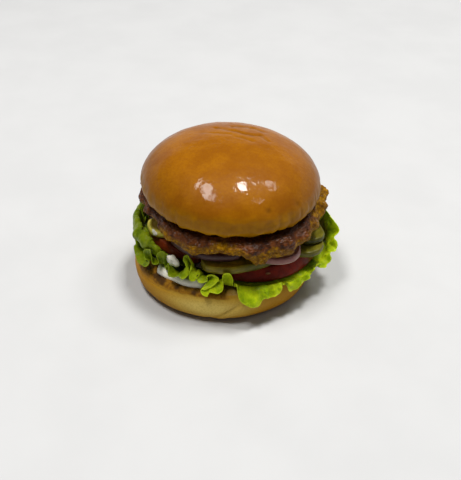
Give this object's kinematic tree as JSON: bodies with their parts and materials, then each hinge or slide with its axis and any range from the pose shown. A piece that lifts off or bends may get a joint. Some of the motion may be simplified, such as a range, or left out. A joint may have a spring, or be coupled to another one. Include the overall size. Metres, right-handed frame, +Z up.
{
  "type": "burger with fried patty and salad",
  "caption": "Burger in a round glossy glazed bun, with a craggy fried patty, tomato, pickle and red onion slices, white sauce and frilly lettuce; it stands on its flat base.",
  "frame": {"origin": "centre of the heel's flat foot, on the surface the burger stands on", "axes": "+Z up, -Y towards the front, +X to the right seen from the front"},
  "size_m": [0.1236, 0.1185, 0.0902],
  "materials": {
    "glazed_crust": "egg-washed golden brown crust, glossy, paler and matter at its lower edge",
    "bun_heel_crust": "pale golden crust, toasted brown ring on the cut face",
    "fried_patty": "dark craggy fried crust with golden lower edge, oily sheen",
    "lettuce": "bright yellow-green frilly leaf, waxy, slightly translucent",
    "tomato": "wet deep red flesh and skin",
    "pickle": "wet olive green slice with darker skin",
    "onion": "translucent pink-white flesh with purple skin line",
    "white_sauce": "thick creamy white sauce"
  },
  "bodies": {
    "root": {"bun_heel": "bun_heel_crust", "sauce": "white_sauce", "sauce_dab": "white_sauce", "lettuce_left_low": "lettuce", "lettuce_left_up": "lettuce", "lettuce_right": "lettuce", "lettuce_back": "lettuce", "tomato_right": "tomato", "tomato_left": "tomato", "tomato_back": "tomato", "pickle_front": "pickle", "pickle_right": "pickle", "pickle_right_top": "pickle", "pickle_left": "pickle", "pickle_back": "pickle", "onion_left": "onion", "onion_right": "onion", "onion_back": "onion", "patty": "fried_patty", "bun_crown": "glazed_crust"}
  },
  "joints": []
}
